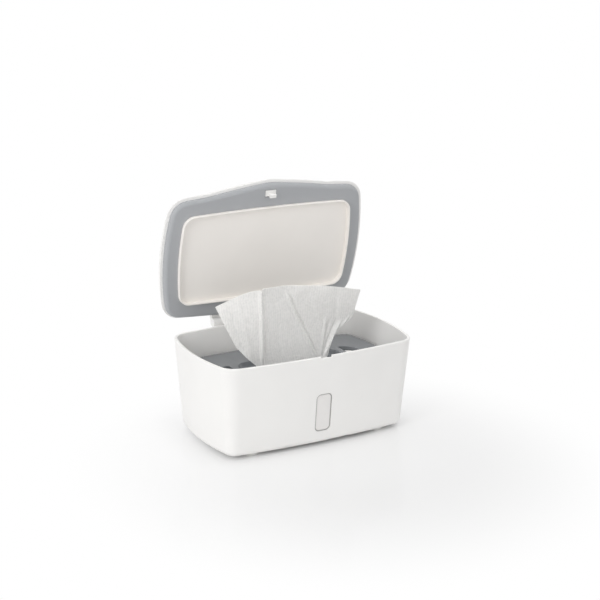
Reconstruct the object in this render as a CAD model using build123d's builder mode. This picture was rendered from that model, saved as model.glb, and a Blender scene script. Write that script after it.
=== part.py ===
from build123d import *
import os
from math import cos, pi, radians, sin, sqrt, tan

os.makedirs("parts", exist_ok=True)

# Wipes dispenser, millimetres. Origin on the ground under the middle of the tub,
# +Z up, front towards -Y, hinge towards +Y. The lid stands open, as it does when
# a wipe is being pulled.

# Tub
tub_length = 222.0
tub_depth = 134.0
rim_height = 94.0
tub_wall = 2.6
tub_floor = 2.6
tub_draft = 4.7
tub_corner = 18.0
long_bow = 5.5
short_bow = 7.4
base_round = 5.5
cavity_round = 3.5
rim_round = 0.8

# Feet, round pads pressed into shallow seats under the floor
foot_height = 3.0
foot_diameter = 16.0
foot_seat = 1.0
foot_chamfer = 0.8
foot_from_end = 40.5
foot_from_front = 23.5
foot_side = tub_length / 2 - foot_from_end
foot_forward = tub_depth / 2 - foot_from_front

# Window in the front wall, with a clear pane welded in from inside
window_width = 17.4
window_height = 39.2
window_bottom = 15.7
window_corner = 5.0
pane_flange = 3.0
pane_flange_thickness = 1.2
pane_recess = 0.7
pane_gap = 0.12

# Front catch: a notch in the rim above a ledge that the latch hooks under
notch_width = 12.6
notch_depth = 2.2
ledge_width = 4.8
ledge_height = 1.7
ledge_reach = 1.3

# Hinge
hinge_reach = 5.1
hinge_back = tub_depth / 2 + hinge_reach
hinge_rise = 2.4
barrel_radius = 4.6
pin_radius = 1.5
pin_cover = 1.6
pin_chamfer = 0.3
running_gap = 0.05
lid_arm_outer = 52.5
lid_arm_width = 14.0
lid_arm_web = 5.2
tub_lug_width = 9.0
lug_drop = 16.0
spring_wire = 0.9
spring_radius = 3.2
spring_turns = 3.0
spring_gap = 1.1
spring_bend = 1.2
spring_seat_gap = 0.1

# Ring that closes on the rim, a shallow frame whose wall carries the lid shell
lid_gap = 0.3
ring_height = 4.4
ring_plate = 2.5
ring_wall = 3.0
ring_edge_round = 4.0
ring_gap = 0.1
ring_from_end = 0.75
ring_from_front = 0.74
ring_from_back = 1.4
ring_corner = 18.0
ring_length = tub_length - 2 * ring_from_end
ring_front = ring_from_front - tub_depth / 2
ring_back = tub_depth / 2 - ring_from_back
ring_depth = ring_back - ring_front
ring_centre = (ring_back + ring_front) / 2

# Lid shell, with a brim round the ring's sides and front
lid_open_angle = 80.0
lid_brim = 2.6
lid_brim_back = 0.6
lid_wall = 2.0
lid_flange_thickness = 1.8
lid_side_draft = 3.0
lid_rise = 14.0
lid_shoulder = 2.5
crown_end_drop = 4.13478
crown_along = 560.0
crown_half_turn = 7.5
lid_length = ring_length + 2 * lid_brim
crown_across = (lid_length / 2) ** 2 / (2 * crown_end_drop)
lid_front = ring_front - lid_brim
lid_back = ring_back + lid_brim_back
lid_depth = lid_back - lid_front
lid_centre = (lid_back + lid_front) / 2
lid_corner = ring_corner + lid_brim
peak_reach = 6.6
peak_half_span = 66.0
peak_round = 60.0

# Tray that fills the ring's opening, with a raised lip round its edge
tray_from_end = 14.35
tray_from_front = 17.3
tray_length = ring_length - 2 * tray_from_end
tray_depth = ring_depth - 2 * tray_from_front
tray_long_bow = 2.0
tray_short_bow = 3.7
tray_corner = 12.6
tray_centre = -0.4
tray_wall = 1.5
tray_lip = 3.0
tray_sink = 2.0
tray_floor = 1.5
tray_flange = 4.0
tray_flange_thickness = 1.2
tray_lip_round = 0.5

# Release button and latch hook, one rocker on a pin under the lid's front
button_length = 34.0
button_depth = 14.0
button_from_front = 9.0
button_y = button_from_front - tub_depth / 2
button_gap = 0.6
button_proud = 0.4
button_round = 0.6
rocker_behind = 6.0
rocker_y = button_y + rocker_behind
rocker_rise = 6.5
rocker_hub = 1.9
rocker_pin = 0.9
rocker_bore = 0.95
rocker_half = 7.0
rocker_web = 2.0
ear_thickness = 2.0
ear_gap = 0.3
ear_length = 5.5
ear_foot = 2.1
ear_step = 0.2
ear_clearance = 0.5
hook_from_front = 4.4
hook_front = hook_from_front - tub_depth / 2
hook_thickness = 2.5
hook_stem = 5.0
hook_width = 6.6
hook_nose = 1.05
hook_height = 1.8
hook_drop = 6.0
hook_top = 8.4
hook_lead = 1.1
hook_fit = 0.02
hook_end_gap = 0.1
hook_foot_gap = 0.6
hook_foot_from_front = 1.1
hook_foot_front = hook_foot_from_front - tub_depth / 2
hook_foot_drop = 0.4
hook_foot_thickness = 1.3
socket_wall = 1.5
socket_side_wall = 2.0
socket_foot = 5.0
hook_slot_gap = 0.6
hook_swing = 1.3
leaf_side = 11.0
leaf_ahead = 2.0
leaf_width = 2.6
leaf_thickness = 0.4
leaf_leg = 5.0
leaf_gap = 0.1

# Plate that rests on the wipes, with a weight between its cover and its base
plate_top = 68.9
plate_thickness = 9.9
plate_gap = 7.8
plate_length = tub_length - 2 * (tub_wall + plate_gap)
plate_depth = tub_depth - 2 * (tub_wall + plate_gap)
plate_long_bow = 4.4
plate_short_bow = 5.6
plate_corner = 12.0
plate_edge_round = 1.6
plate_skin = 2.0
plate_skirt = 2.2
island_from_end = 18.1
island_from_front = 35.1
island_length = plate_length - 2 * island_from_end
island_width = plate_depth - 2 * island_from_front
finger_rim = 4.0
finger_radius = island_width / 2 - finger_rim
finger_centre = island_length / 2 - finger_radius - finger_rim
finger_chord = 1.5
finger_web = finger_centre + finger_chord
finger_corner = 2.0
dish_from_hole = 5.0
dish_from_front = 2.5
dish_flat = 5.0
dish_length = 2 * (finger_centre - dish_from_hole)
dish_width = island_width - 2 * dish_from_front
dish_corner = dish_width / 2 - dish_flat
dish_depth = 4.0
dish_slope = 30.0
slot_from_dish = 4.0
slot_length = dish_length - 2 * slot_from_dish
slot_width = 10.0
weight_gap = 0.3
weight_thickness = 5.5
base_thickness = 1.8
base_gap = 0.15

# Wipes: the folded stack under the plate and the one that is drawn up
stack_from_end = 6.6
stack_from_front = 4.6
stack_length = plate_length - 2 * stack_from_end
stack_depth = plate_depth - 2 * stack_from_front
stack_corner = 8.0
stack_chamfer = 2.4
soft_gap = 0.3

# Drawn wipe: its thickness, and its folds at the foot, above the slot and at the top
wipe_thickness = 1.4
wipe_foot_half = 38.0
wipe_foot_fold = -28.0
wipe_foot_crease = 22.0
wipe_foot_wave = 2.0
wipe_neck_height = 78.0
wipe_neck_left = -54.0
wipe_neck_fold = -34.0
wipe_neck_crease = 28.8
wipe_neck_right = 48.0
wipe_neck_wave = 4.0
wipe_top_height = 150.0
wipe_top_left = -100.0
wipe_top_fold = -36.4
wipe_top_crease = -16.3
wipe_top_right = 84.0
wipe_top_wave = 9.0
wipe_crease_share = 0.5
wipe_edge_share = 0.3
wipe_panel_share = 0.2

# Drawn wipe: the corners of its outline, from the slot up the right side and over
# the top, and how far its longer sides sway outwards
wipe_foot_margin = 1.0
wipe_root_x = 37.8
wipe_root_z = 67.0
wipe_knee_x = 43.3
wipe_knee_z = 83.1
wipe_hip_x = 51.1
wipe_hip_z = 98.7
wipe_elbow_x = 66.3
wipe_elbow_z = 103.9
wipe_right_x = 75.5
wipe_right_z = 132.0
wipe_shoulder_x = 57.2
wipe_shoulder_z = 137.5
wipe_crest_x = -34.4
wipe_crest_z = 149.6
wipe_left_x = -83.9
wipe_left_z = 136.4
wipe_waist_x = -61.6
wipe_waist_z = 95.0
wipe_ankle_x = -38.6
wipe_ankle_z = 69.0
wipe_knee_sway = -0.6
wipe_right_sway = -1.1
wipe_top_sway = 3.5
wipe_crest_sway = 1.6
wipe_left_sway = -1.2
wipe_waist_sway = 0.9

# Worked out from the sizes above
draft_slope = tan(radians(tub_draft))
cavity_floor = foot_height + tub_floor
hinge_height = rim_height + hinge_rise
shell_foot = lid_gap + ring_height
plate_bottom = plate_top - plate_thickness
stack_top = plate_bottom - soft_gap


def bowed_outline(length, depth, bow_long, bow_short, corner, peak=0.0):
    """A rectangle whose sides bow outwards, with round corners and an optional
    shallow point in the middle of its front side."""
    half_x, half_y = length / 2, depth / 2
    corner_x, corner_y = half_x - bow_short, half_y - bow_long

    def front_y(x):
        return -half_y + bow_long * (x / corner_x) ** 2

    with BuildSketch() as outline:
        with BuildLine():
            ThreePointArc((corner_x, -corner_y), (half_x, 0), (corner_x, corner_y))
            ThreePointArc((corner_x, corner_y), (0, half_y), (-corner_x, corner_y))
            ThreePointArc((-corner_x, corner_y), (-half_x, 0), (-corner_x, -corner_y))
            if peak:
                start, middle = peak_half_span, peak_half_span / 2
                between = (start + corner_x) / 2
                for side in (-1, 1):
                    ThreePointArc(
                        (side * corner_x, -corner_y),
                        (side * between, front_y(between)),
                        (side * start, front_y(start)),
                    )
                    ThreePointArc(
                        (side * start, front_y(start)),
                        (side * middle, front_y(middle) - peak / 2),
                        (0, -half_y - peak),
                    )
            else:
                ThreePointArc((-corner_x, -corner_y), (0, -half_y), (corner_x, -corner_y))
        make_face()
        points = outline.vertices().sort_by(lambda v: abs(v.X))
        fillet(points[-4:], corner)
        if peak:
            fillet(outline.vertices().sort_by(lambda v: abs(v.X))[0], peak_round)
    return outline.sketch


def tub_section(height, inset=0.0):
    """The tub's outline at a height, moved in from its outer face by inset."""
    step = (rim_height - height) * draft_slope + inset
    return bowed_outline(
        tub_length - 2 * step, tub_depth - 2 * step, long_bow, short_bow, tub_corner - step
    )


def tub_core(inset, bottom, top):
    """A solid that fills the tub between two heights, inset from its outer face."""
    with BuildPart() as core:
        with BuildSketch(Plane.XY.offset(bottom)):
            add(tub_section(bottom, inset))
        extrude(amount=top - bottom, taper=-tub_draft)
    return core.part


def front_wall(height):
    """Y of the front wall's outer face in the middle, at a height."""
    return -tub_depth / 2 + (rim_height - height) * draft_slope


def window_prism(grow):
    """The window's shape, grown on all sides, run through the front wall."""
    with BuildPart() as prism:
        with BuildSketch(Plane.XZ.offset(tub_depth / 2 - 3 * tub_wall - 10)):
            with Locations((0, window_bottom + window_height / 2)):
                RectangleRounded(
                    window_width + 2 * grow, window_height + 2 * grow, window_corner + grow
                )
        extrude(amount=4 * tub_wall + 12)
    return prism.part


# Tub: drafted walls with bowed sides, catch at the front and hinge lugs at the back
spring_pitch = spring_wire + spring_gap
spring_length = spring_turns * spring_pitch + 2 * spring_bend + 2 * spring_wire
lug_face = lid_arm_outer - lid_arm_width - spring_length - spring_seat_gap
ledge_top = rim_height - notch_depth
with BuildPart() as tub:
    add(tub_core(0, foot_height, rim_height))
    fillet(tub.faces().sort_by(Axis.Z)[0].edges(), base_round)
    add(tub_core(tub_wall, cavity_floor, rim_height), mode=Mode.SUBTRACT)
    floor_edges = tub.edges().filter_by_position(
        Axis.Z, cavity_floor - 0.01, cavity_floor + 0.01
    )
    fillet(floor_edges, cavity_round)
    rim_edges = tub.edges().filter_by_position(Axis.Z, rim_height - 0.01, rim_height + 0.01)
    fillet(rim_edges, rim_round)
    add(window_prism(0), mode=Mode.SUBTRACT)
    flange_seat = window_prism(pane_flange) & tub_core(
        tub_wall - pane_flange_thickness - pane_gap, cavity_floor, rim_height
    )
    add(flange_seat, mode=Mode.SUBTRACT)
    # Feet seats
    with BuildSketch(Plane.XY.offset(foot_height)):
        with GridLocations(2 * foot_side, 2 * foot_forward, 2, 2):
            Circle(foot_diameter / 2)
    extrude(amount=foot_seat, mode=Mode.SUBTRACT)
    # Ledge and notch of the catch
    ledge_wall = front_wall(ledge_top) + tub_wall
    with BuildSketch(Plane.XY.offset(ledge_top - ledge_height)):
        with Locations((0, ledge_wall + (ledge_reach - tub_wall / 2) / 2)):
            Rectangle(ledge_width, ledge_reach + tub_wall / 2)
    extrude(amount=ledge_height)
    with BuildSketch(Plane.XY.offset(ledge_top)):
        with Locations((0, -tub_depth / 2)):
            Rectangle(notch_width, 4 * tub_wall)
    extrude(amount=2 * notch_depth, mode=Mode.SUBTRACT)
    # Hinge lugs, a barrel on a gusset at each side
    wall_line = tub_depth / 2 - tub_wall / 2
    for side in (-1, 1):
        lug_start = side * lug_face if side > 0 else side * (lug_face - tub_lug_width)
        lug_plane = Plane.YZ.offset(lug_start)
        with BuildSketch(lug_plane):
            with BuildLine():
                Polyline(
                    (wall_line - lug_drop * draft_slope, rim_height - lug_drop),
                    (hinge_back + barrel_radius / 2, hinge_height - barrel_radius * 0.85),
                    (hinge_back, hinge_height),
                    (wall_line, rim_height - rim_round),
                    close=True,
                )
            make_face()
        extrude(amount=-tub_lug_width)
        with BuildSketch(lug_plane):
            with Locations((hinge_back, hinge_height)):
                Circle(barrel_radius)
        extrude(amount=-tub_lug_width)
        with BuildSketch(lug_plane):
            with Locations((hinge_back, hinge_height)):
                Circle(pin_radius + running_gap)
        extrude(amount=-tub_lug_width, mode=Mode.SUBTRACT)
tub.part.label = "tub"
export_step(tub.part, "parts/tub.step")


# Window pane: a plug that shows in the window, on a flange set into the wall
with BuildPart() as window_pane:
    add(window_prism(-pane_gap))
    add(window_prism(pane_flange - pane_gap) & tub_core(
        tub_wall - pane_flange_thickness, cavity_floor, rim_height
    ))
    add(tub_core(pane_recess, cavity_floor, rim_height), mode=Mode.INTERSECT)
    add(tub_core(tub_wall, cavity_floor, rim_height), mode=Mode.SUBTRACT)
window_pane.part.label = "window_pane"
export_step(window_pane.part, "parts/window_pane.step")


# Feet: round pads with a plug in each seat
for side, side_name in ((-1, "left"), (1, "right")):
    for end, end_name in ((-1, "front"), (1, "rear")):
        with BuildPart() as foot:
            with BuildSketch():
                with Locations((side * foot_side, end * foot_forward)):
                    Circle(foot_diameter / 2 - running_gap)
            extrude(amount=foot_height + foot_seat - running_gap)
            chamfer(foot.faces().sort_by(Axis.Z)[0].edges(), foot_chamfer)
        foot.part.label = f"foot_{end_name}_{side_name}"
        export_step(foot.part, f"parts/foot_{end_name}_{side_name}.step")


# Hinge pins, one at each side, pushed through the lug into the arm's blind bore
pin_inner = lug_face - tub_lug_width - pin_chamfer
pin_outer = lid_arm_outer - pin_cover - running_gap
for side, side_name in ((-1, "left"), (1, "right")):
    with BuildPart() as hinge_pin:
        with BuildSketch(Plane.YZ.offset(side * pin_inner)):
            with Locations((hinge_back, hinge_height)):
                Circle(pin_radius)
        extrude(amount=side * (pin_outer - pin_inner))
        chamfer(hinge_pin.edges().filter_by(GeomType.CIRCLE), pin_chamfer)
    hinge_pin.part.label = f"hinge_pin_{side_name}"
    export_step(hinge_pin.part, f"parts/hinge_pin_{side_name}.step")


def arc_pair(start, start_way, end, end_way):
    """Two arcs that leave start and reach end in the given directions."""
    across = end - start
    ways = start_way + end_way
    spread = 2 * (1 - start_way.dot(end_way))
    reach = -across.dot(ways) + sqrt(across.dot(ways) ** 2 + spread * across.dot(across))
    reach /= spread
    joint = (start + end + (start_way - end_way) * reach) * 0.5
    joint_way = (end - end_way * reach - start - start_way * reach).normalized()
    return [
        Edge.make_tangent_arc(start, start_way, joint),
        Edge.make_tangent_arc(joint, joint_way, end),
    ]


def coil_path(foot, up, side_way, radius, pitch, turns):
    """Half turns of a coil that climbs along up from foot, as pairs of arcs."""
    third = up.cross(side_way)
    slope = sqrt(radius**2 + (pitch / (2 * pi)) ** 2)

    def place(angle):
        round_about = side_way * cos(angle) + third * sin(angle)
        return foot + round_about * radius + up * (pitch * angle / (2 * pi))

    def way(angle):
        along = third * cos(angle) - side_way * sin(angle)
        return (along * radius + up * (pitch / (2 * pi))) * (1 / slope)

    edges = []
    for half_turn in range(round(turns * 2)):
        a, b = half_turn * pi, (half_turn + 1) * pi
        edges += arc_pair(place(a), way(a), place(b), way(b))
    return edges, (place(0), way(0)), (place(turns * 2 * pi), way(turns * 2 * pi))


def bent_end(start, start_way, end_way, bend, straight):
    """A bend out of the coil and the straight end that follows it."""
    level = (start_way - end_way * start_way.dot(end_way)).normalized()
    corner = start + level * bend + end_way * bend
    return [
        Edge.make_tangent_arc(start, start_way, corner),
        Edge.make_line(corner, corner + end_way * straight),
    ]


def coil_spring(foot, up, side_way, radius, wire, pitch, turns, bend):
    """A coil of round wire from foot along up, with straight ends of one wire's
    length that stand square to what they meet."""
    coil, first, last = coil_path(
        foot + up * (bend + wire), up, side_way, radius, pitch, turns
    )
    lead_in = bent_end(first[0], first[1] * -1, up * -1, bend, wire)
    lead_out = bent_end(last[0], last[1], up, bend, wire)
    with BuildPart() as spring:
        with BuildSketch(Plane(lead_in[-1] @ 1, z_dir=up)):
            Circle(wire / 2)
        sweep(path=Wire(lead_in[::-1] + coil + lead_out))
    return spring.part


# Hinge springs: coils round the pins between the tub's lug and the lid's arm
for side, side_name in ((-1, "left"), (1, "right")):
    with BuildPart() as hinge_spring:
        add(coil_spring(
            Vector(side * lug_face, hinge_back, hinge_height),
            Vector(side, 0, 0),
            Vector(0, 0, -1),
            spring_radius,
            spring_wire,
            spring_pitch,
            spring_turns,
            spring_bend,
        ))
    hinge_spring.part.label = f"hinge_spring_{side_name}"
    export_step(hinge_spring.part, f"parts/hinge_spring_{side_name}.step")
print("hinge spring gap between turns", round(spring_gap, 2))


# Planes on the open lid. Heights run from its rim face outwards, and closed_y is
# where a point's Y would be with the lid shut.
open_turn = radians(lid_open_angle)
lid_out = Vector(0, sin(open_turn), cos(open_turn))
lid_origin = Vector(0, hinge_back, hinge_height) - lid_out * hinge_rise
lid_plane = Plane(origin=lid_origin, x_dir=(1, 0, 0), z_dir=lid_out)


def lid_point(x, closed_y, height):
    """A point of the open lid from its closed position."""
    return lid_plane.from_local_coords((x, closed_y - hinge_back, height))


def on_lid(height, closed_y=0.0):
    """A plane parallel to the lid's face with its origin at that closed position."""
    return Plane(origin=lid_point(0, closed_y, height), x_dir=(1, 0, 0), z_dir=lid_out)


def beside_lid(x):
    """A plane across the hinge line at x, with closed Y and height as its axes."""
    return Plane(origin=lid_point(x, 0, 0), x_dir=lid_plane.y_dir, z_dir=(1, 0, 0))


def lid_outline(inset):
    """The lid's outline with its shallow point at the front, moved in by inset."""
    return bowed_outline(
        lid_length - 2 * inset,
        lid_depth - 2 * inset,
        long_bow,
        short_bow,
        lid_corner - inset,
        peak_reach,
    )


def ring_outline(inset):
    """The ring's outline with its shallow point at the front, moved in by inset."""
    return bowed_outline(
        ring_length - 2 * inset,
        ring_depth - 2 * inset,
        long_bow,
        short_bow,
        ring_corner - inset,
        peak_reach,
    )


def tray_outline(grow):
    """The inner tray's outline, grown on all sides."""
    return bowed_outline(
        tray_length + 2 * grow,
        tray_depth + 2 * grow,
        tray_long_bow,
        tray_short_bow,
        tray_corner + grow,
    )


def crown_height(x, closed_y):
    """Height of the crowned top over a point of the lid."""
    return lid_rise - x**2 / (2 * crown_across) - closed_y**2 / (2 * crown_along)


def crown(drop):
    """All that lies below the lid's crowned top, lowered by drop."""
    reach = lid_depth * 0.6
    long_radius, cross_radius = crown_along - drop, crown_across - drop
    half_turn = radians(crown_half_turn)
    axis_foot = lid_point(0, 0, lid_rise - crown_across)
    tilt = Vector(1, 0, 0) * cos(half_turn) + lid_out * sin(half_turn)
    profile_plane = Plane(origin=axis_foot, x_dir=lid_plane.y_dir, z_dir=tilt)
    edge_height = cross_radius - long_radius + sqrt(long_radius**2 - reach**2)
    foot_height_here = crown_across - 2 * lid_depth
    with BuildPart() as dome:
        with BuildSketch(profile_plane):
            with BuildLine():
                ThreePointArc((-reach, edge_height), (0, cross_radius), (reach, edge_height))
                Polyline(
                    (reach, edge_height),
                    (reach, foot_height_here),
                    (-reach, foot_height_here),
                    (-reach, edge_height),
                )
            make_face()
        revolve(axis=Axis(axis_foot, lid_plane.y_dir), revolution_arc=2 * crown_half_turn)
    return dome.part


def lid_block(inset, bottom, top):
    """The lid's outline raised between two heights with its side draft."""
    drawn_in = max(bottom - shell_foot, 0) * tan(radians(lid_side_draft))
    with BuildPart() as block:
        with BuildSketch(on_lid(bottom, lid_centre)):
            add(lid_outline(inset + drawn_in))
        extrude(amount=top - bottom, taper=lid_side_draft)
    return block.part


# Lid shell: a crowned cap with a slot for the button, hinge arms and pin ears, and a
# flange round its foot that sits on the ring's wall
ear_inner = rocker_half + ear_gap
ear_outer = ear_inner + ear_thickness
ear_back = rocker_y + ear_length
button_back = button_y + button_depth / 2
lid_room = lid_block(lid_wall, shell_foot + lid_flange_thickness, lid_rise)
lid_mouth = lid_block(lid_brim + ring_wall, shell_foot, lid_rise)
lid_hollow = (lid_room + lid_mouth) & crown(lid_wall)
with BuildPart() as lid_shell:
    add(lid_block(0, shell_foot, lid_rise + lid_wall))
    add(crown(0), mode=Mode.INTERSECT)
    top_face = lid_shell.faces().sort_by(Axis(lid_plane.origin, lid_out))[-1]
    fillet(top_face.edges(), lid_shoulder)
    add(lid_hollow, mode=Mode.SUBTRACT)
    with BuildSketch(on_lid(shell_foot, button_y)):
        SlotOverall(button_length, button_depth)
    extrude(amount=lid_rise, mode=Mode.SUBTRACT)
    # Ears that hold the rocker's pin, clear of the cap in front of them
    for side in (-1, 1):
        ear_start = side * ear_inner if side < 0 else side * ear_outer
        roof = crown_height(0, ear_back) - lid_wall / 2
        with BuildSketch(beside_lid(ear_start)):
            with BuildLine():
                Polyline(
                    (rocker_y - ear_foot, rocker_rise - ear_foot),
                    (rocker_y - ear_foot, rocker_rise + ear_foot - ear_step),
                    (button_back + ear_clearance, rocker_rise + ear_foot - ear_step),
                    (button_back + ear_clearance, roof),
                    (ear_back, roof),
                    (ear_back, rocker_rise),
                    (rocker_y + ear_foot, rocker_rise - ear_foot),
                    close=True,
                )
            make_face()
        extrude(amount=-ear_thickness)
        with BuildSketch(beside_lid(ear_start)):
            with Locations((rocker_y, rocker_rise)):
                Circle(rocker_pin + hook_fit)
        extrude(amount=-ear_thickness, mode=Mode.SUBTRACT)
    # Hinge arms with their barrels
    for side in (-1, 1):
        arm_start = lid_arm_outer if side > 0 else lid_arm_width - lid_arm_outer
        bore_start = arm_start - pin_cover if side > 0 else arm_start
        arm_foot = lid_back - lid_wall / 2
        with BuildSketch(beside_lid(arm_start)):
            with BuildLine():
                Polyline(
                    (arm_foot, shell_foot),
                    (arm_foot, shell_foot + lid_arm_web),
                    (hinge_back + barrel_radius * 0.7, hinge_rise + barrel_radius * 0.7),
                    (hinge_back, hinge_rise),
                    (hinge_back - barrel_radius * 0.8, hinge_rise + barrel_radius * 0.5),
                    close=True,
                )
            make_face()
        extrude(amount=-lid_arm_width)
        with BuildSketch(beside_lid(arm_start)):
            with Locations((hinge_back, hinge_rise)):
                Circle(barrel_radius)
        extrude(amount=-lid_arm_width)
        with BuildSketch(beside_lid(bore_start)):
            with Locations((hinge_back, hinge_rise)):
                Circle(pin_radius + running_gap)
        extrude(amount=pin_cover - lid_arm_width, mode=Mode.SUBTRACT)
lid_shell.part.label = "lid_shell"
export_step(lid_shell.part, "parts/lid_shell.step")


# Lid ring: a frame with a round outer edge, hollow behind, with the tray's opening, a
# slot for the hook's stem and a pocket that takes the hook's foot
ring_top = lid_gap + ring_plate
hook_back = hook_front + hook_thickness
slot_back = hook_back + hook_swing
slot_front = hook_front - hook_slot_gap
pocket_front = hook_foot_front - hook_slot_gap
hook_foot_width = notch_width - 2 * hook_foot_gap
pocket_depth = hook_foot_thickness - hook_foot_drop - lid_gap + hook_end_gap
with BuildPart() as lid_ring:
    with BuildSketch(on_lid(lid_gap, ring_centre)):
        add(ring_outline(0))
    extrude(amount=ring_height)
    low_face = lid_ring.faces().sort_by(Axis(lid_plane.origin, lid_out))[0]
    fillet(low_face.edges(), ring_edge_round)
    with BuildSketch(on_lid(ring_top, ring_centre)):
        add(ring_outline(ring_wall))
    extrude(amount=ring_height, mode=Mode.SUBTRACT)
    with BuildSketch(on_lid(lid_gap, tray_centre)):
        add(tray_outline(ring_gap))
    extrude(amount=ring_height, mode=Mode.SUBTRACT)
    with BuildSketch(on_lid(lid_gap, (slot_back + slot_front) / 2)):
        Rectangle(hook_stem + 2 * hook_slot_gap, slot_back - slot_front)
    extrude(amount=ring_height, mode=Mode.SUBTRACT)
    with BuildSketch(on_lid(lid_gap, (slot_back + pocket_front) / 2)):
        Rectangle(hook_foot_width + 2 * hook_slot_gap, slot_back - pocket_front)
    extrude(amount=pocket_depth, mode=Mode.SUBTRACT)
lid_ring.part.label = "lid_ring"
export_step(lid_ring.part, "parts/lid_ring.step")


# Lid tray: a shallow dish with a round lip, on a flange that lies behind the ring
tray_face = lid_gap + tray_sink
tray_crest = lid_gap - tray_lip
flange_foot = ring_top + running_gap
with BuildPart() as lid_tray:
    with BuildSketch(on_lid(tray_crest, tray_centre)):
        add(tray_outline(0))
    extrude(amount=flange_foot + tray_flange_thickness - tray_crest)
    with BuildSketch(on_lid(flange_foot, tray_centre)):
        add(tray_outline(tray_flange))
    extrude(amount=tray_flange_thickness)
    with BuildSketch(on_lid(tray_crest, tray_centre)):
        add(tray_outline(-tray_wall))
    extrude(amount=tray_face - tray_crest, mode=Mode.SUBTRACT)
    with BuildSketch(on_lid(tray_face + tray_floor, tray_centre)):
        add(tray_outline(-2 * tray_wall))
    extrude(amount=tray_lip, mode=Mode.SUBTRACT)
    along_out = Axis(lid_point(0, 0, 0), lid_out)
    crest_edges = lid_tray.faces().sort_by(along_out)[0].edges()
    fillet(crest_edges, tray_lip_round)
lid_tray.part.label = "lid_tray"
export_step(lid_tray.part, "parts/lid_tray.step")


# Release button: a crowned cap on a hub, with a socket for the latch hook
cap_block = crown(-button_proud) - crown(lid_wall)
with BuildPart() as button_cap:
    with BuildSketch(on_lid(shell_foot, button_y)):
        SlotOverall(button_length - 2 * button_gap, button_depth - 2 * button_gap)
    extrude(amount=lid_rise)
    add(cap_block, mode=Mode.INTERSECT)
    cap_face = button_cap.faces().sort_by(Axis(lid_plane.origin, lid_out))[-1]
    fillet(cap_face.edges(), button_round)
cap_inside = crown(lid_wall / 2 + running_gap)
with BuildPart() as button_stalk:
    with BuildSketch(beside_lid(rocker_half)):
        with BuildLine():
            Polyline(
                (rocker_y - rocker_hub, rocker_rise),
                (rocker_y - rocker_hub, lid_rise),
                (rocker_y - rocker_hub + rocker_web, lid_rise),
                (rocker_y, rocker_rise + rocker_hub),
                (rocker_y, rocker_rise),
                close=True,
            )
        make_face()
    extrude(amount=-2 * rocker_half)
    with BuildSketch(beside_lid(rocker_half)):
        with Locations((rocker_y, rocker_rise)):
            Circle(rocker_hub)
    extrude(amount=-2 * rocker_half)
    with BuildSketch(on_lid(socket_foot, hook_front + hook_thickness / 2)):
        Rectangle(hook_stem + 2 * socket_side_wall, hook_thickness + 2 * socket_wall)
    extrude(amount=lid_rise - socket_foot)
    add(cap_inside, mode=Mode.INTERSECT)
with BuildPart() as release_button:
    add(button_cap.part)
    add(button_stalk.part)
    with BuildSketch(beside_lid(rocker_half)):
        with Locations((rocker_y, rocker_rise)):
            Circle(rocker_bore)
    extrude(amount=-2 * rocker_half, mode=Mode.SUBTRACT)
    with BuildSketch(on_lid(socket_foot, hook_front + hook_thickness / 2)):
        Rectangle(hook_stem + 2 * hook_fit, hook_thickness + 2 * hook_fit)
    extrude(amount=hook_top + hook_end_gap - socket_foot, mode=Mode.SUBTRACT)
release_button.part.label = "release_button"
export_step(release_button.part, "parts/release_button.step")


# Latch hook: a stem with a foot that lies in the rim's notch, and a tip whose nose
# catches under the tub's ledge
with BuildPart() as latch_hook:
    with BuildSketch(beside_lid(hook_stem / 2)):
        with BuildLine():
            Polyline(
                (hook_front, -hook_drop),
                (hook_back, -hook_drop),
                (hook_back, hook_top),
                (hook_front, hook_top),
                close=True,
            )
        make_face()
    extrude(amount=-hook_stem)
    with BuildSketch(on_lid(-hook_foot_drop, (hook_foot_front + hook_back) / 2)):
        Rectangle(hook_foot_width, hook_back - hook_foot_front)
    extrude(amount=hook_foot_thickness)
    with BuildSketch(beside_lid(hook_width / 2)):
        with BuildLine():
            Polyline(
                (hook_front - hook_nose + hook_lead / 2, -hook_drop),
                (hook_back, -hook_drop),
                (hook_back, hook_height - hook_drop),
                (hook_front - hook_nose, hook_height - hook_drop),
                (hook_front - hook_nose, hook_lead - hook_drop),
                close=True,
            )
        make_face()
    extrude(amount=-hook_width)
latch_hook.part.label = "latch_hook"
export_step(latch_hook.part, "parts/latch_hook.step")


# Latch pin through the ears and the rocker's hub
with BuildPart() as latch_pin:
    with BuildSketch(beside_lid(ear_outer)):
        with Locations((rocker_y, rocker_rise)):
            Circle(rocker_pin)
    extrude(amount=-2 * ear_outer)
latch_pin.part.label = "latch_pin"
export_step(latch_pin.part, "parts/latch_pin.step")


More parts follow.
